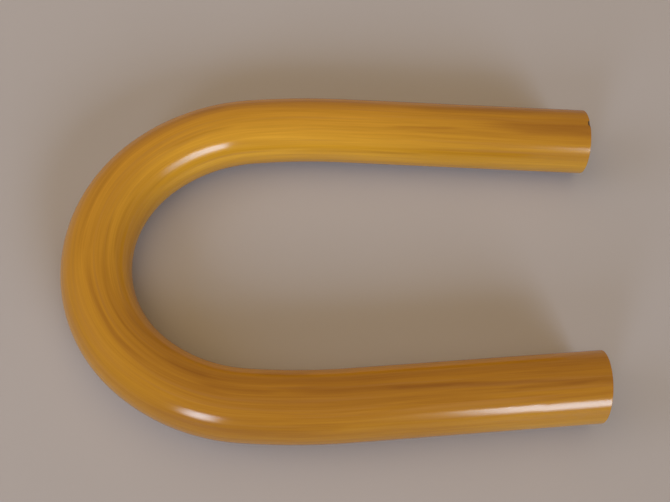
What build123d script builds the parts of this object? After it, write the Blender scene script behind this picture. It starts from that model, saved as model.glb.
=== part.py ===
from build123d import *
import os

# A length of round plastic handrail, heat-formed into a U that joins two parallel rails.
# It lies flat: +Z is up, +X points out of the open end, and the far leg is at +Y.
# All lengths are in millimetres and all angles in degrees.

# The extruded tube
tube_diameter = 60.0
wall_thickness = 4.5

# The bend: a round crown, a slacker shoulder on each side of it, and a long easing into each leg
crown_radius = 126.0
crown_angle = 98.0
shoulder_radius = 151.0
shoulder_angle = 36.0
easing_radius = 600.0
easing_angle = 8.4

# The straight legs, from the end of the easing to the middle of the saw cut
far_leg_length = 228.0
near_leg_length = 207.0

# The saw cuts lean, so each leg is longest on the side that faces the other leg
far_cut_lean = 2.5
near_cut_lean = 7.0
rim_break = 0.4

# A chip in the far leg's outer rim, placed by its angle from the top towards the outside
chip_angle = 1.0
chip_length = 6.5
chip_depth = 1.6
chip_reach = 2.2

# Waste beyond each saw cut
saw_waste = 12.0

# Worked out from the sizes above
tube_radius = tube_diameter / 2
bore_radius = tube_radius - wall_thickness
toe_in = crown_angle / 2 + shoulder_angle + easing_angle - 90


def bend_path():
    """The tube's centreline as it leaves the bender: far leg, crown, near leg, with waste on both."""
    easing = (easing_radius, easing_angle)
    shoulder = (shoulder_radius, shoulder_angle)
    crown = (crown_radius, crown_angle)
    with BuildLine() as line:
        piece = PolarLine((0, 0), saw_waste + far_leg_length, 180 - toe_in)
        for radius, angle in (easing, shoulder, crown, shoulder, easing):
            piece = JernArc(piece @ 1, piece % 1, radius, angle)
        PolarLine(piece @ 1, near_leg_length + saw_waste, direction=piece % 1)
    return line.wires()[0]


def leg_mouth(end, outward, lean):
    """The plane of a saw cut, with its normal out of the tube, its X up and its Y across the leg."""
    square_cut = Plane(origin=end - outward * saw_waste, x_dir=(0, 0, 1), z_dir=outward)
    return square_cut * Rot(X=lean)


def bent_tube(path):
    """The hollow section swept along the whole centreline."""
    section = Circle(tube_radius) - Circle(bore_radius)
    return sweep(Plane(origin=path @ 0, z_dir=path % 0) * section, path=path)


def sawn_off(mouth):
    """The waste beyond a saw cut."""
    waste_room = 3 * saw_waste
    return mouth * Cylinder(tube_diameter, waste_room, align=(Align.CENTER, Align.CENTER, Align.MIN))


def break_rims(tube):
    """A small chamfer on the outer and inner edge of both sawn ends."""
    sawn_ends = tube.faces().filter_by(GeomType.PLANE)
    return chamfer(sawn_ends.edges(), rim_break)


def rim_chip(mouth):
    """The scoop that the chip takes out of the far rim: a flattened ball on the tube's skin."""
    ball_radius = chip_length / 2
    scoop = scale(Sphere(ball_radius), by=(chip_depth / ball_radius, 1, chip_reach / ball_radius))
    return mouth * Rot(Z=-chip_angle) * Pos(X=tube_radius) * scoop


def handrail():
    """One tube, bent, sawn, deburred and chipped, in its resting place."""
    path = bend_path()
    far_mouth = leg_mouth(path @ 0, -(path % 0), far_cut_lean)
    near_mouth = leg_mouth(path @ 1, path % 1, -near_cut_lean)
    tube = bent_tube(path)
    tube -= sawn_off(far_mouth)
    tube -= sawn_off(near_mouth)
    tube = break_rims(tube)
    tube -= rim_chip(far_mouth)
    middle = tube.bounding_box().center()
    return Pos(-middle.X, -middle.Y, tube_radius) * tube


os.makedirs("parts", exist_ok=True)
export_step(handrail(), "parts/handrail.step")
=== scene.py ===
import math

import bpy
import numpy as np
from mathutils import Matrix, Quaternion, Vector


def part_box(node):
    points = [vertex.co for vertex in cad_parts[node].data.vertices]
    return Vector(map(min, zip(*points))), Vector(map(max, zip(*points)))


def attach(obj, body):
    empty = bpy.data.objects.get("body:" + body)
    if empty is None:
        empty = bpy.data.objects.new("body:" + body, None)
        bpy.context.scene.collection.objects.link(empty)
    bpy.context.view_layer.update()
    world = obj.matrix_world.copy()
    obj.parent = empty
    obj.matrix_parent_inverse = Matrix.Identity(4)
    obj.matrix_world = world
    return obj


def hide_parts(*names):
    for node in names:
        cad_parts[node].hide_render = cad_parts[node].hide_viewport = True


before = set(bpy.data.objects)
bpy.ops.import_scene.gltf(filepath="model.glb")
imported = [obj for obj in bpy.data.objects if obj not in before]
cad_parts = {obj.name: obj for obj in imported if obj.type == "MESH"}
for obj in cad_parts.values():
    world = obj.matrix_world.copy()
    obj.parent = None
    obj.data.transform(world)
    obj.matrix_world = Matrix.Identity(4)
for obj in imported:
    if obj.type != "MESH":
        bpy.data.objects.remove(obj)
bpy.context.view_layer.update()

MM = 0.001
NODE = "handrail"
BODY = "root"

# The tube and its centreline, in metres and degrees, as the CAD model has them
TUBE_RADIUS = 30.0 * MM
WALL = 4.5 * MM
BORE_RADIUS = TUBE_RADIUS - WALL
FAR_LEG = 228.0 * MM
NEAR_LEG = 207.0 * MM
EASING = (600.0 * MM, 8.4)
SHOULDER = (151.0 * MM, 36.0)
CROWN = (126.0 * MM, 98.0)
BENDS = (EASING, SHOULDER, CROWN, SHOULDER, EASING)
TOE_IN = math.radians(sum(turn for radius, turn in BENDS) / 2 - 90.0)

# The sawn ends
FAR_CUT_LEAN = math.radians(2.5)
NEAR_CUT_LEAN = math.radians(7.0)
LEAN_REACH = 40.0 * MM
RIM_BREAK = 0.4 * MM

# The chip in the far rim
CHIP_ANGLE = 1.0
CHIP_LENGTH = 6.5 * MM
CHIP_DEPTH = 1.6 * MM
CHIP_REACH = 2.2 * MM

# What makes the chip ragged. Each has its share of the chip's size, and its rate in radians over the
# chip's half length or its reach. The fine one has a rate over both.
CHIP_WANDER = (0.12, 9.0)
CHIP_COARSE = (0.10, 11.0)
CHIP_FINE = (0.07, 17.0, 5.0)

# Face rings that the chip cuts away are pressed under its floor, this share of their depth apart
CHIP_FLOOR_SLOPE = 0.12

# How finely the tube is meshed: lines in degrees, the rings' steps, the rings near each mouth by their
# millimetres from it, and the rings on the sawn faces by their inset or their share of the wall
LINES_AROUND = 116
LINE_SPACING = 3.6
CHIP_LINE_SPACING = 0.8
CHIP_LINE_SPREAD = 9.0
ANGLE_SAMPLES = 7201
RING_STEP = 2.0 * MM
BORE_RING_STEP = 5.0 * MM
MOUTH_RINGS = (0.4, 0.6, 0.85, 1.15, 1.5, 1.85, 2.2, 2.7, 3.4, 4.4, 6.0, 8.0)
FACE_INSET = 0.3 * MM
FACE_SHARES = (0.35, 0.65)

# The texture map, as shares of its side: starts and lengths of the strips
STRIP_ALONG = (0.02, 0.96)
SKIN_ACROSS = (0.01, 0.77)
BORE_ACROSS = (0.80, 0.19)

# The texture map: starts and ends of the sawn faces
NEAR_FACE_ALONG = (0.984, 0.996)
FAR_FACE_ALONG = (0.004, 0.016)


# The tube's shape

def centreline_spans():
    """Each stretch of the centreline as its length and its curvature, from the far mouth."""
    arcs = [(radius * math.radians(turn), 1 / radius) for radius, turn in BENDS]
    return [(FAR_LEG, 0.0), *arcs, (NEAR_LEG, 0.0)]


TUBE_LENGTH = sum(length for length, curvature in centreline_spans())


def advance(distance, heading, curvature):
    """How far a stretch that sets out at a heading has moved, as x + iy."""
    if curvature == 0.0:
        return distance * np.exp(1j * heading)
    return (np.exp(1j * (heading + curvature * distance)) - np.exp(1j * heading)) / (1j * curvature)


def centreline(distance):
    """Place, as x + iy, and heading of the centreline at each distance from the far mouth."""
    place = np.zeros(distance.shape, complex)
    heading = np.zeros(distance.shape)
    point, course, start = 0j, math.pi - TOE_IN, 0.0
    for index, (length, curvature) in enumerate(centreline_spans()):
        beyond = distance >= (start if index else -np.inf)
        run = distance[beyond] - start
        place[beyond] = point + advance(run, course, curvature)
        heading[beyond] = course + curvature * run
        point += advance(length, course, curvature)
        course += curvature * length
        start += length
    return place, heading


def angles_around():
    """Angles of the lengthwise mesh lines from the top, closer together round the chip."""
    fine = np.linspace(-180.0, 180.0, ANGLE_SAMPLES)
    near_chip = np.exp(-((fine - CHIP_ANGLE) / CHIP_LINE_SPREAD) ** 2)
    extra = (1 / CHIP_LINE_SPACING - 1 / LINE_SPACING) * near_chip
    density = 1 / LINE_SPACING + extra
    count = np.concatenate([[0.0], np.cumsum((density[1:] + density[:-1]) / 2)])
    share = np.arange(LINES_AROUND) / LINES_AROUND
    return np.radians(np.interp(share, count / count[-1], fine))


def chip_depth(angle, inward):
    """How deep the chip cuts below the skin, at an angle and a distance in from the sawn end."""
    across = TUBE_RADIUS * (angle - math.radians(CHIP_ANGLE)) / (CHIP_LENGTH / 2)
    wander, wander_rate = CHIP_WANDER
    across = across + wander * np.sin(wander_rate * inward / CHIP_REACH)
    room = 1.0 - across ** 2 - (inward / CHIP_REACH) ** 2
    coarse, coarse_rate = CHIP_COARSE
    fine, rate_across, rate_inward = CHIP_FINE
    ragged = 1.0 + coarse * np.sin(coarse_rate * across)
    ragged = ragged + fine * np.sin(rate_across * across + rate_inward * inward / CHIP_REACH)
    return CHIP_DEPTH * ragged * np.sqrt(np.clip(room, 0.0, None))


def wall_profile():
    """The loop that the wall's section makes along the tube, as rows of base distance and radius:
    the skin from far to near, the near sawn face, the bore from near to far, the far sawn face."""
    from_mouth = np.array(MOUTH_RINGS) * MM
    middle = TUBE_LENGTH - 2 * from_mouth[-1]
    steps = round(middle / RING_STEP)
    skin = np.concatenate([
        from_mouth,
        from_mouth[-1] + middle * np.arange(1, steps) / steps,
        TUBE_LENGTH - from_mouth[::-1],
    ])
    bore_steps = round(TUBE_LENGTH / BORE_RING_STEP)
    bore = np.linspace(TUBE_LENGTH - RIM_BREAK, RIM_BREAK, bore_steps)
    round_off = RIM_BREAK * (1 - math.sqrt(0.5))
    face = [
        (round_off, TUBE_RADIUS - round_off),
        (0.0, TUBE_RADIUS - RIM_BREAK),
        (0.0, TUBE_RADIUS - RIM_BREAK - FACE_INSET),
        *((0.0, TUBE_RADIUS - share * WALL) for share in FACE_SHARES),
        (0.0, BORE_RADIUS + RIM_BREAK + FACE_INSET),
        (0.0, BORE_RADIUS + RIM_BREAK),
        (round_off, BORE_RADIUS + round_off),
    ]
    rows = [(s, TUBE_RADIUS) for s in skin]
    rows += [(TUBE_LENGTH - inward, radius) for inward, radius in face]
    rows += [(s, BORE_RADIUS) for s in bore]
    rows += [(inward, radius) for inward, radius in reversed(face)]
    return np.array(rows), len(skin), len(face), len(bore)


def lean_shift(distance, lateral):
    """How far a leaning saw cut slides a point along its leg, fading out behind the cut."""
    far = np.clip(1 - distance / LEAN_REACH, 0, 1) * lateral * math.tan(FAR_CUT_LEAN)
    near = np.clip(1 - (TUBE_LENGTH - distance) / LEAN_REACH, 0, 1) * lateral * math.tan(NEAR_CUT_LEAN)
    return far - near


def tube_points():
    """Points of the tube in place and unbent, as grids of rows by lines, and the chip's depth."""
    rows, *_ = wall_profile()
    angle = angles_around()[None, :]
    base = rows[:, :1] + 0 * angle
    chip = chip_depth(angle, base) * (rows[:, 1:] > BORE_RADIUS + RIM_BREAK)
    depth_below = TUBE_RADIUS - rows[:, 1:]
    chip_floor = TUBE_RADIUS - chip - CHIP_FLOOR_SLOPE * depth_below
    radius = np.minimum(TUBE_RADIUS - depth_below, chip_floor)
    lateral = radius * np.sin(angle)
    distance = base + lean_shift(base, lateral)
    place, heading = centreline(distance)
    outward = -1j * np.exp(1j * heading)
    point = place + lateral * outward
    height = TUBE_RADIUS + radius * np.cos(angle)
    placed = np.stack([point.real, point.imag, height], axis=-1)
    unbent = np.stack([distance, lateral, radius * np.cos(angle)], axis=-1)
    return placed, unbent, chip


def set_on_frame(placed):
    """Moves the points to where the CAD node lies."""
    low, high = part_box(NODE)
    for axis in (0, 1):
        middle = (placed[..., axis].max() + placed[..., axis].min()) / 2
        placed[..., axis] += (low[axis] + high[axis]) / 2 - middle
    return placed


def add_values(mesh, name, kind, values):
    """A named value at each vertex, for the materials to read."""
    layer = mesh.attributes.new(name, kind, "POINT")
    field = "vector" if kind == "FLOAT_VECTOR" else "value"
    layer.data.foreach_set(field, np.ascontiguousarray(values, np.float32).ravel())


def lay_out_map(mesh, rows, skin_rows, face_rows, bore_rows):
    """A texture map of two long strips: the skin with both sawn faces, and the bore."""
    count, around = len(rows), LINES_AROUND
    start, span_along = STRIP_ALONG
    skin_strip = np.concatenate([
        start + span_along * rows[:skin_rows, 0] / TUBE_LENGTH,
        np.linspace(*NEAR_FACE_ALONG, face_rows),
    ])
    far_face = np.linspace(*FAR_FACE_ALONG, face_rows)
    bore_strip = start + span_along * rows[skin_rows + face_rows - 1:, 0] / TUBE_LENGTH
    turn = np.arange(around + 1) / around
    corners = np.zeros((count, around, 4, 2))
    last_skin = skin_rows + face_rows - 1
    first_far = skin_rows + face_rows + bore_rows
    for row in range(count):
        if row < last_skin:
            ends, (low, span) = (skin_strip[row], skin_strip[row + 1]), SKIN_ACROSS
        elif row < first_far:
            here = row - last_skin
            ends, (low, span) = (bore_strip[here], bore_strip[here + 1]), BORE_ACROSS
        else:
            here = row - first_far
            beyond = far_face[here + 1] if here + 1 < face_rows else skin_strip[0]
            ends, (low, span) = (far_face[here], beyond), SKIN_ACROSS
        corners[row, :, (0, 3), 0] = ends[0]
        corners[row, :, (1, 2), 0] = ends[1]
        corners[row, :, 0, 1] = corners[row, :, 1, 1] = low + span * turn[:-1]
        corners[row, :, 2, 1] = corners[row, :, 3, 1] = low + span * turn[1:]
    mesh.uv_layers.new(name="OFBake").data.foreach_set("uv", corners.astype(np.float32).ravel())


def build_tube(materials):
    """The whole dressed tube as one closed mesh."""
    rows, skin_rows, face_rows, bore_rows = wall_profile()
    placed, unbent, chip = tube_points()
    placed = set_on_frame(placed)
    count, around = placed.shape[:2]
    row = np.repeat(np.arange(count), around)
    line = np.tile(np.arange(around), count)
    next_row, next_line = (row + 1) % count, (line + 1) % around
    quads = np.stack([
        row * around + line,
        next_row * around + line,
        next_row * around + next_line,
        row * around + next_line,
    ], axis=-1)
    mesh = bpy.data.meshes.new(NODE + "_skin")
    mesh.from_pydata(placed.reshape(-1, 3).tolist(), [], quads.tolist())
    for material in materials:
        mesh.materials.append(material)
    printed = (row < skin_rows) | (row == count - 1)
    mesh.polygons.foreach_set("material_index", np.where(printed, 0, 1).astype(np.int32))
    mesh.polygons.foreach_set("use_smooth", np.ones(len(quads), bool))
    add_values(mesh, "unbent", "FLOAT_VECTOR", unbent)
    add_values(mesh, "chip", "FLOAT", np.clip(chip / CHIP_DEPTH, 0, 1))
    lay_out_map(mesh, rows, skin_rows, face_rows, bore_rows)
    mesh.validate()
    tube = bpy.data.objects.new("bent_tube", mesh)
    bpy.context.scene.collection.objects.link(tube)
    return tube


# Materials

# How far the noise moves along each axis from one seed to the next
SEED_STEP = (17.31, 5.17, 9.73)


class Shader:
    """A material's nodes, with short calls for the kinds that the surfaces need."""

    def __init__(self, name):
        self.material = bpy.data.materials.new(name)
        self.material.use_nodes = True
        self.tree = self.material.node_tree
        self.tree.nodes.clear()

    def node(self, kind, **settings):
        made = self.tree.nodes.new(kind)
        for name, value in settings.items():
            setattr(made, name, value)
        return made

    def feed(self, socket, value):
        if isinstance(value, bpy.types.NodeSocket):
            self.tree.links.new(value, socket)
        else:
            socket.default_value = value

    def calc(self, operation, *values):
        made = self.node("ShaderNodeMath", operation=operation)
        for socket, value in zip(made.inputs, values):
            self.feed(socket, value)
        return made.outputs[0]

    def vector(self, operation, *values):
        made = self.node("ShaderNodeVectorMath", operation=operation)
        for socket, value in zip(made.inputs, values):
            self.feed(socket, value)
        return made.outputs[0]

    def split(self, value):
        made = self.node("ShaderNodeSeparateXYZ")
        self.feed(made.inputs[0], value)
        return made.outputs

    def smooth(self, value, from_min, from_max, to_min=0.0, to_max=1.0):
        made = self.node("ShaderNodeMapRange", interpolation_type="SMOOTHSTEP")
        for socket, number in zip(made.inputs, (value, from_min, from_max, to_min, to_max)):
            self.feed(socket, number)
        return made.outputs[0]

    def noise(self, place, cell, seed, detail=2.0):
        """Noise from 0 to 1 whose cells have these sizes along, outward and up."""
        scaled = self.vector("DIVIDE", place, cell)
        moved = self.vector("ADD", scaled, tuple(seed * step for step in SEED_STEP))
        made = self.node("ShaderNodeTexNoise", noise_dimensions="3D")
        self.feed(made.inputs["Vector"], moved)
        made.inputs["Scale"].default_value = 1.0
        made.inputs["Detail"].default_value = detail
        made.inputs["Roughness"].default_value = 0.5
        return made

    def mix(self, share, first, second):
        made = self.node("ShaderNodeMix", data_type="RGBA", clamp_factor=True)
        self.feed(made.inputs[0], share)
        for socket, colour in zip(made.inputs[6:8], (first, second)):
            linked = isinstance(colour, bpy.types.NodeSocket)
            self.feed(socket, colour if linked else (*colour, 1.0))
        return made.outputs[2]

    def ramp(self, value, stops):
        made = self.node("ShaderNodeValToRGB")
        self.feed(made.inputs[0], value)
        elements = made.color_ramp.elements
        while len(elements) < len(stops):
            elements.new(1.0)
        for element, (place, colour) in zip(elements, stops):
            element.position = place
            element.color = (*colour, 1.0)
        return made.outputs[0]

    def attribute(self, name):
        return self.node("ShaderNodeAttribute", attribute_type="GEOMETRY", attribute_name=name)

    def unbent_place(self):
        """Where a point lies on the unbent tube, in millimetres along, outward and up."""
        place = self.vector("SCALE", self.attribute("unbent").outputs["Vector"])
        place.node.inputs["Scale"].default_value = 1 / MM
        return place

    def bump(self, height, distance):
        made = self.node("ShaderNodeBump")
        made.inputs["Strength"].default_value = 1.0
        made.inputs["Distance"].default_value = distance
        self.feed(made.inputs["Height"], height)
        return made.outputs[0]

    def surface(self, **sockets):
        shader = self.node("ShaderNodeBsdfPrincipled")
        for name, value in sockets.items():
            self.feed(shader.inputs[name.replace("_", " ").title().replace("Ior", "IOR")], value)
        out = self.node("ShaderNodeOutputMaterial")
        self.tree.links.new(shader.outputs[0], out.inputs[0])
        return self.material


# The printed grain's inks, from its palest golden ground to its darkest streaks
HONEY = (0.740, 0.390, 0.036)
PALE_GOLD = (0.625, 0.316, 0.025)
GOLD = (0.510, 0.246, 0.017)
OCHRE = (0.410, 0.181, 0.013)
BROWN = (0.315, 0.125, 0.010)
DARK_BROWN = (0.225, 0.076, 0.007)
DUSTY = (0.430, 0.205, 0.046)
INKS = (
    (0.0, HONEY), (0.14, PALE_GOLD), (0.34, GOLD), (0.54, OCHRE), (0.74, BROWN), (0.96, DARK_BROWN),
)

# The printed skin's gloss, and its relief as noise cells and heights in millimetres
PLASTIC_IOR = 1.5
SKIN_ROUGHNESS = 0.14
DRAW_LINE_CELL = (400.0, 1.1, 1.1)
DRAW_LINE_HEIGHT = 0.012
SWELL_CELL = (24.0, 9.0, 9.0)
SWELL_HEIGHT = 0.05

# The chip: where the print gives way to it, its colour, which is dirt in the chip with painted shade of
# its hollow, and its finish
CHIP_EDGE = (0.02, 0.25)
CHIP_DIRT_AND_SHADE = (0.085, 0.045, 0.016)
CHIP_ROUGHNESS = 0.75

# The sawn faces and the bore, with their noise cells in millimetres
BARE_PLASTIC = (0.40, 0.24, 0.085)
BARE_SHADE = 0.72
BARE_ROUGHNESS = (0.42, 0.58)
BARE_LINE_CELL = (260.0, 1.4, 1.4)
BARE_CLOUD_CELL = (60.0, 14.0, 14.0)
SAW_CELL = (9.0, 9.0, 0.35)
SAW_RELIEF = 0.04 * MM

# The table top, with its noise cell in metres
TABLE_CELL = (0.18, 0.18, 0.18)
TABLE_DARK = (0.458, 0.448, 0.484)
TABLE_PALE = (0.482, 0.472, 0.510)
TABLE_ROUGHNESS = (0.55, 0.60)
TABLE_SPECULAR = 0.2

# The middle part of a noise's range, over which the bare plastic and the table change
NOISE_MIDDLE = (0.3, 0.7)

# The grain's noise, coarse to fine. Each has its cell in millimetres, its seed, its detail and its
# weight about the middle tone.
GRAIN_LAYERS = (
    ((300.0, 13.0, 13.0), 2, 1.0, 0.32),
    ((190.0, 4.5, 4.5), 3, 1.5, 0.25),
    ((85.0, 1.7, 1.7), 4, 2.0, 0.26),
    ((45.0, 0.8, 0.8), 5, 1.0, 0.16),
)
MIDDLE_TONE = 0.45

# What bends the grain and what wavers the streaks: noise cells and reach, in millimetres
WANDER_CELL = (110.0, 22.0, 22.0)
WANDER_REACH = (0.0, 4.5, 4.5)
WOBBLE_CELL = (38.0, 400.0, 400.0)
WOBBLE_REACH = 2.2

# The dusty ink: its noise cell in millimetres, the noise that it sets in over, and its greatest share
DUST_CELL = (150.0, 3.6, 3.6)
DUST_RANGE = (0.50, 0.80)
DUST_MOST = 0.5

# Streaks that stand out in the skin's tone: thin lines of the grain, and broader lighter or darker
# bands, some of which are painted light and shade. Each has its two ends (millimetres from the far
# mouth, degrees from the top towards the outside of the bend), its half width in millimetres and its
# strength.
DARK_STREAKS = {
    "far_end_patch": ((-30, -7), (100, -12), 4.0, 0.16),
    "far_end_second": ((-20, -19), (75, -21), 2.6, 0.10),
    "far_leg_outer_band": ((40, 26), (170, 20), 5.0, 0.14),
    "far_leg_inner_shade": ((-120, -24), (270, -26), 8.0, 0.10),
    "far_leg_inner_line": ((150, -72), (275, -73), 1.3, 0.16),
    "far_leg_top_line": ((120, -20), (190, -24), 1.2, 0.14),
    "far_shoulder_line": ((330, -22), (400, -20), 1.2, 0.14),
    "crown_line": ((480, -26), (570, -25), 1.5, 0.16),
    "crown_inner_first": ((452, -43), (528, -41), 1.3, 0.12),
    "crown_outer_band": ((440, 14), (535, 14), 2.4, 0.10),
    "near_shoulder_thin": ((560, -21), (720, -22), 1.0, 0.10),
    "crown_inner_line": ((583, -37), (658, -45), 2.0, 0.14),
    "near_shoulder_top": ((530, 0), (643, 0), 1.4, 0.16),
    "near_shoulder_inner": ((650, -25), (695, -25), 1.6, 0.12),
    "near_leg_start": ((684, -8), (752, -8), 1.8, 0.16),
    "near_leg_inner": ((733, -45), (778, -45), 2.4, 0.14),
    "near_leg_first": ((748, -13), (868, -7), 2.2, 0.18),
    "near_leg_second": ((860, -7), (1030, 7), 1.5, 0.18),
    "near_leg_beside": ((925, 8), (1000, 7), 1.2, 0.12),
    "near_leg_knot": ((838, -7), (888, -4), 1.8, 0.12),
    "far_shoulder_knot": ((334, 28), (366, 28), 4.0, 0.16),
    # Painted shadow on the near leg's side that faces the windows, and painted shade over the near
    # leg's top and its near end
    "near_leg_painted_shadow": ((640, 62), (930, 62), 20.0, 0.16),
    "near_leg_top_painted_shade": ((690, 14), (1180, 12), 10.0, 0.06),
    "near_end_painted_shade": ((860, 6), (1180, 8), 8.0, 0.09),
}
PALE_STREAKS = {
    "near_leg_pale_line": ((690, -18), (780, -18), 1.2, 0.16),
    "near_end_pale_line": ((900, 17), (1030, 20), 1.4, 0.10),
    "near_leg_inner_glow": ((520, -58), (1180, -54), 11.0, 0.13),
    "far_shoulder_glow": ((150, -35), (440, -40), 17.0, 0.10),
    "far_shoulder_outer_glow": ((270, 62), (450, 58), 8.0, 0.09),
    "far_leg_outer_glow": ((-120, 28), (400, 28), 9.0, 0.09),
    "near_shoulder_inner_glow": ((560, -52), (960, -36), 8.0, 0.09),
    # Painted light over the far half's top, and on the far leg's and far shoulder's side that faces the
    # windows
    "far_half_painted_light": ((40, 10), (620, 10), 45.0, 0.18),
    "far_leg_painted_light_side": ((-160, -84), (460, -84), 10.0, 0.12),
    "far_shoulder_painted_light_side": ((150, -76), (450, -76), 12.0, 0.12),
}
DUSTY_STREAKS = {
    "far_easing_dust": ((160, 28), (450, 26), 7.0, 0.32),
}

# How far a streak fades inside its ends, as a share of its length, and beyond them, as a share of that
STREAK_FADE = 0.25
STREAK_OVERRUN = 0.4


def streak(shader, along, arc, wobble, first_end, last_end, half_width):
    """Where one streak lies: 1 on its line, falling to 0 at twice its half width and past its ends."""
    first, first_angle = first_end
    last, last_angle = last_end
    mm_per_degree = math.radians(TUBE_RADIUS / MM)
    slope = (last_angle - first_angle) * mm_per_degree / (last - first)
    run = shader.calc("MULTIPLY_ADD", along, slope, first_angle * mm_per_degree - slope * first)
    aside = shader.calc("ABSOLUTE", shader.calc("SUBTRACT", shader.calc("SUBTRACT", arc, run), wobble))
    width_part = shader.smooth(aside, 0.0, half_width * 2.0, 1.0, 0.0)
    fade = STREAK_FADE * (last - first)
    overrun = STREAK_OVERRUN * fade
    start_part = shader.smooth(along, first - overrun, first + fade)
    end_part = shader.smooth(along, last - fade, last + overrun, 1.0, 0.0)
    return shader.calc("MULTIPLY", width_part, shader.calc("MULTIPLY", start_part, end_part))


def add_streaks(shader, value, streaks, sign, along, arc, wobble):
    """A value with each of these streaks added to it, or taken off it where the sign is minus."""
    for *line, strength in streaks.values():
        part = streak(shader, along, arc, wobble, *line)
        value = shader.calc("MULTIPLY_ADD", part, sign * strength, value)
    return value


def grain_and_painted_light_tone(shader):
    """How dark and how dusty the skin is at a point, from its printed grain with painted light and
    shade laid over it, and where the point lies on the skin.
    """
    place = shader.unbent_place()
    along, outward, up = shader.split(place)
    arc = shader.calc("MULTIPLY", shader.calc("ARCTAN2", outward, up), TUBE_RADIUS / MM)
    drift = shader.noise(place, WANDER_CELL, 1, detail=1.0)
    swing = shader.vector("SUBTRACT", drift.outputs["Color"], (0.5, 0.5, 0.5))
    wandered = shader.vector("ADD", place, shader.vector("MULTIPLY", swing, WANDER_REACH))
    tone = MIDDLE_TONE
    for cell, seed, detail, weight in GRAIN_LAYERS:
        layer = shader.noise(wandered, cell, seed, detail).outputs[0]
        tone = shader.calc("MULTIPLY_ADD", shader.calc("SUBTRACT", layer, 0.5), weight, tone)
    waver = shader.noise(place, WOBBLE_CELL, 6, detail=1.0).outputs[0]
    wobble = shader.calc("MULTIPLY", shader.calc("SUBTRACT", waver, 0.5), WOBBLE_REACH)
    dust = shader.noise(place, DUST_CELL, 15, detail=2.0).outputs[0]
    dust = shader.smooth(dust, *DUST_RANGE, 0.0, DUST_MOST)
    tone = add_streaks(shader, tone, DARK_STREAKS, 1.0, along, arc, wobble)
    tone = add_streaks(shader, tone, PALE_STREAKS, -1.0, along, arc, wobble)
    dust = add_streaks(shader, dust, DUSTY_STREAKS, 1.0, along, arc, wobble)
    return tone, dust, along, arc, place


# The unevenness beside the near mouth: where it starts, in millimetres from the far mouth, its angle
# from the top, its tilt, and the millimetres that it fades over
DENT_START = 950.0
DENT_ANGLE = 40.0
DENT_SLOPE = 0.03
DENT_FADE = 14.0


def faint_dent(shader, along, arc):
    """The height in millimetres of a slight unevenness beside the near mouth."""
    from_middle = shader.calc("SUBTRACT", arc, math.radians(DENT_ANGLE) * TUBE_RADIUS / MM)
    room = shader.smooth(shader.calc("ABSOLUTE", from_middle), 0.0, DENT_FADE, 1.0, 0.0)
    beyond = shader.smooth(along, DENT_START, DENT_START + DENT_FADE)
    tilted = shader.calc("MULTIPLY", from_middle, -DENT_SLOPE)
    return shader.calc("MULTIPLY", tilted, shader.calc("MULTIPLY", room, beyond))


def printed_pvc():
    """The skin: oak-like grain in long golden and brown streaks, printed on glossy rigid plastic, with
    some broad bands of painted light and shade laid over the grain.
    """
    shader = Shader("printed_pvc")
    tone, dust, along, arc, place = grain_and_painted_light_tone(shader)
    ink_and_painted_light = shader.mix(dust, shader.ramp(tone, INKS), DUSTY)
    chip = shader.attribute("chip").outputs["Fac"]
    # The chip's colour is dirt in it and painted shade of its hollow
    colour = shader.mix(shader.smooth(chip, *CHIP_EDGE), ink_and_painted_light, CHIP_DIRT_AND_SHADE)
    draw_lines = shader.noise(place, DRAW_LINE_CELL, 8, detail=1.0).outputs[0]
    swell = shader.noise(place, SWELL_CELL, 9, detail=1.0).outputs[0]
    height = shader.calc("MULTIPLY", draw_lines, DRAW_LINE_HEIGHT)
    height = shader.calc("MULTIPLY_ADD", swell, SWELL_HEIGHT, height)
    height = shader.calc("ADD", height, faint_dent(shader, along, arc))
    relief = shader.bump(height, MM)
    roughness = shader.smooth(chip, *CHIP_EDGE, SKIN_ROUGHNESS, CHIP_ROUGHNESS)
    return shader.surface(
        base_color=colour, roughness=roughness, ior=PLASTIC_IOR, specular_ior_level=0.5, normal=relief,
    )


def sawn_pvc():
    """The cut faces and the bore: the same plastic, unprinted and dull."""
    shader = Shader("sawn_pvc")
    place = shader.unbent_place()
    draw_lines = shader.noise(place, BARE_LINE_CELL, 11, detail=2.0).outputs[0]
    saw_marks = shader.noise(place, SAW_CELL, 12, detail=1.0).outputs[0]
    cloud = shader.noise(place, BARE_CLOUD_CELL, 13, detail=2.0).outputs[0]
    shade = shader.calc("MULTIPLY_ADD", draw_lines, 0.5, shader.calc("MULTIPLY", cloud, 0.5))
    darker = tuple(BARE_SHADE * part for part in BARE_PLASTIC)
    colour = shader.mix(shader.smooth(shade, *NOISE_MIDDLE), darker, BARE_PLASTIC)
    rough = shader.smooth(cloud, *NOISE_MIDDLE, *BARE_ROUGHNESS)
    relief = shader.bump(shader.calc("ADD", draw_lines, saw_marks), SAW_RELIEF)
    return shader.surface(base_color=colour, roughness=rough, ior=PLASTIC_IOR, normal=relief)


def table_top():
    """A plain, pale and almost matt top."""
    shader = Shader("table_top")
    place = shader.node("ShaderNodeTexCoord").outputs["Object"]
    mottle = shader.noise(place, TABLE_CELL, 21, detail=2.0).outputs[0]
    colour = shader.mix(mottle, TABLE_DARK, TABLE_PALE)
    rough = shader.smooth(mottle, *NOISE_MIDDLE, *TABLE_ROUGHNESS)
    return shader.surface(
        base_color=colour, roughness=rough, ior=PLASTIC_IOR, specular_ior_level=TABLE_SPECULAR,
    )


# Stage, lights and camera

# Half the table's width, and how far its top lies below the part
TABLE_HALF = 3.0
TABLE_DROP = 0.02 * MM


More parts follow.
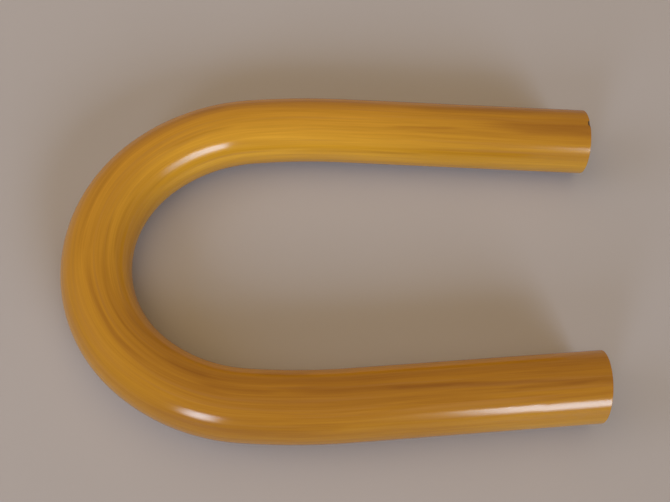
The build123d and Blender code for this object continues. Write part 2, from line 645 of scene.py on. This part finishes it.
def add_floor():
    """The table top, a wide square just below the part."""
    corners = [(x * TABLE_HALF, y * TABLE_HALF, 0.0) for x, y in ((-1, -1), (1, -1), (1, 1), (-1, 1))]
    mesh = bpy.data.meshes.new("table")
    mesh.from_pydata(corners, [], [(0, 1, 2, 3)])
    mesh.materials.append(table_top())
    floor = bpy.data.objects.new("table", mesh)
    bpy.context.scene.collection.objects.link(floor)
    floor.location.z = -TABLE_DROP


def soft_panel(name, place, back, width, height, radiance, colour):
    """A rectangular lamp with its back this way, which isn't itself seen by the camera."""
    lamp = bpy.data.lights.new(name, "AREA")
    lamp.shape = "RECTANGLE"
    lamp.size = width
    lamp.size_y = height
    lamp.color = colour
    lamp.energy = radiance * math.pi * width * height
    panel = bpy.data.objects.new(name, lamp)
    panel.location = place
    panel.rotation_euler = back.to_track_quat("Z", "Y").to_euler()
    panel.visible_camera = False
    bpy.context.scene.collection.objects.link(panel)
    return panel


def soften_edges(panel, left, right, bottom):
    """Fades the panel's glow towards three of its edges, over these shares of its width and height."""
    lamp = panel.data
    lamp.use_nodes = True
    tree = lamp.node_tree
    place = tree.nodes.new("ShaderNodeNewGeometry")
    split = tree.nodes.new("ShaderNodeSeparateXYZ")
    tree.links.new(place.outputs["Parametric"], split.inputs[0])
    glow = None
    for axis, edge, full in ((0, 0.0, left), (0, 1.0, 1.0 - right), (1, 0.0, bottom)):
        fade = tree.nodes.new("ShaderNodeMapRange")
        fade.interpolation_type = "SMOOTHSTEP"
        fade.inputs["From Min"].default_value = edge
        fade.inputs["From Max"].default_value = full
        tree.links.new(split.outputs[axis], fade.inputs["Value"])
        if glow is None:
            glow = fade.outputs[0]
            continue
        both = tree.nodes.new("ShaderNodeMath")
        both.operation = "MULTIPLY"
        tree.links.new(glow, both.inputs[0])
        tree.links.new(fade.outputs[0], both.inputs[1])
        glow = both.outputs[0]
    tree.links.new(glow, tree.nodes["Emission"].inputs["Strength"])


# The windows, far off and slightly blue. Each has its azimuths and elevations in degrees, its radiance,
# and the shares of it that fade at its left, right and bottom.
WINDOW_DISTANCE = 30.0
WINDOW_COLOUR = (0.88, 1.0, 1.16)
WINDOWS = {
    "right_window": ((-74.8, -27), (7, 32.5), 10.4, (0.10, 0.78, 0.45)),
    "left_window": ((-127.5, -107), (7, 32), 12.0, (0.48, 0.48, 0.45)),
}

# The soft lamps: place, width and height in metres, radiance and colour
SOFT_LAMPS = {
    "overhead": ((-0.3, 0.35, 2.7), 4.2, 4.2, 0.80, (1.0, 0.70, 0.38)),
    "fill": ((-2.7, -0.2, 1.5), 2.0, 1.6, 1.7, (0.94, 1.0, 1.12)),
}

# Light from the room, and the backdrop
ROOM_COLOUR = (0.175, 0.129, 0.062, 1.0)
BACKDROP_COLOUR = (0.34, 0.285, 0.20, 1.0)


def window_panel(name, azimuths, elevations, radiance, fades):
    """An upright lamp that fills these azimuths and elevations, in degrees, as seen from the object."""
    azimuth = math.radians(sum(azimuths) / 2)
    low, high = (WINDOW_DISTANCE * math.tan(math.radians(elevation)) for elevation in elevations)
    width = 2 * WINDOW_DISTANCE * math.tan(math.radians(azimuths[1] - azimuths[0]) / 2)
    outward = Vector((math.cos(azimuth), math.sin(azimuth), 0.0))
    place = outward * WINDOW_DISTANCE
    place.z = (low + high) / 2
    panel = soft_panel(name, place, outward, width, high - low, radiance, WINDOW_COLOUR)
    soften_edges(panel, *fades)


def add_lights():
    """Two low windows in front, whose mirror images make the highlights, and two soft lamps without."""
    for name, settings in WINDOWS.items():
        window_panel(name, *settings)
    for name, (place, *settings) in SOFT_LAMPS.items():
        panel = soft_panel(name, Vector(place), Vector(place), *settings)
        panel.visible_glossy = False


def add_world():
    """A dim, slightly warm room, which is a paler backdrop to the camera and to mirror images."""
    world = bpy.data.worlds.new("room")
    world.use_nodes = True
    tree = world.node_tree
    tree.nodes.clear()
    room = tree.nodes.new("ShaderNodeBackground")
    room.inputs[0].default_value = ROOM_COLOUR
    backdrop = tree.nodes.new("ShaderNodeBackground")
    backdrop.inputs[0].default_value = BACKDROP_COLOUR
    path = tree.nodes.new("ShaderNodeLightPath")
    choose = tree.nodes.new("ShaderNodeMixShader")
    out = tree.nodes.new("ShaderNodeOutputWorld")
    seen = path.outputs["Is Camera Ray"]
    for kind in ("Is Glossy Ray", "Is Transmission Ray"):
        either = tree.nodes.new("ShaderNodeMath")
        either.operation = "MAXIMUM"
        tree.links.new(seen, either.inputs[0])
        tree.links.new(path.outputs[kind], either.inputs[1])
        seen = either.outputs[0]
    tree.links.new(seen, choose.inputs[0])
    tree.links.new(room.outputs[0], choose.inputs[1])
    tree.links.new(backdrop.outputs[0], choose.inputs[2])
    tree.links.new(choose.outputs[0], out.inputs[0])
    bpy.context.scene.world = world


# The camera, in metres, with its lens and sensor in millimetres
CAMERA_PLACE = Vector((-0.02628, -0.30503, 0.67451))
CAMERA_TARGET = Vector((0.00091, 0.02046, 0.0))
CAMERA_ROLL = math.radians(3.776)
CAMERA_LENS = 43.537
SENSOR_WIDTH = 36.0
CLIP_START = 0.01


def add_camera():
    """The photograph's own viewpoint, as the fit to the tube's outline gave it."""
    camera = bpy.data.cameras.new("camera")
    camera.lens = CAMERA_LENS
    camera.sensor_width = SENSOR_WIDTH
    camera.clip_start = CLIP_START
    holder = bpy.data.objects.new("camera", camera)
    holder.location = CAMERA_PLACE
    aim = (CAMERA_TARGET - CAMERA_PLACE).to_track_quat("-Z", "Y")
    holder.rotation_mode = "QUATERNION"
    holder.rotation_quaternion = aim @ Quaternion((0, 0, 1), CAMERA_ROLL)
    bpy.context.scene.collection.objects.link(holder)
    bpy.context.scene.camera = holder


tube = build_tube([printed_pvc(), sawn_pvc()])
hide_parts(NODE)
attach(tube, BODY)
add_floor()
add_lights()
add_world()
add_camera()
bpy.context.scene.view_settings.view_transform = "Standard"
